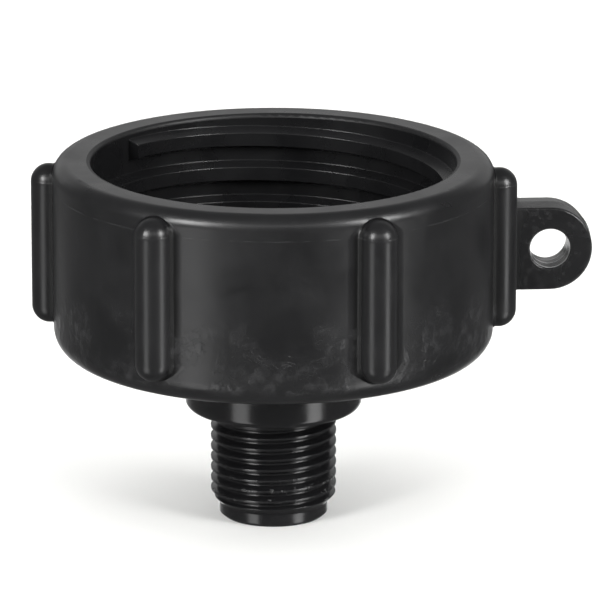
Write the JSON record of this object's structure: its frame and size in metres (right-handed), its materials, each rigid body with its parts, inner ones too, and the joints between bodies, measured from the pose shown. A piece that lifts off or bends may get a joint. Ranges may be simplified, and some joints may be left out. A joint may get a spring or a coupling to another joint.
{
  "type": "container outlet adapter",
  "caption": "Screw-on adapter from a bulk container's coarse outlet thread to a small male pipe thread, with grip ribs, a drilled ear and a flat sealing gasket.",
  "frame": {"origin": "on the common axis of both threads, at the open end of the spigot", "axes": "+Z along the axis to the open mouth of the coarse thread, +X through the middle plane of the ear"},
  "size_m": [0.0928, 0.0746, 0.061],
  "materials": {
    "moulded_plastic": "black injection-moulded polypropylene, semi-gloss",
    "gasket_rubber": "matt moulded rubber"
  },
  "bodies": {
    "root": {"adapter_body": "moulded_plastic", "sealing_gasket": "gasket_rubber"}
  },
  "joints": []
}
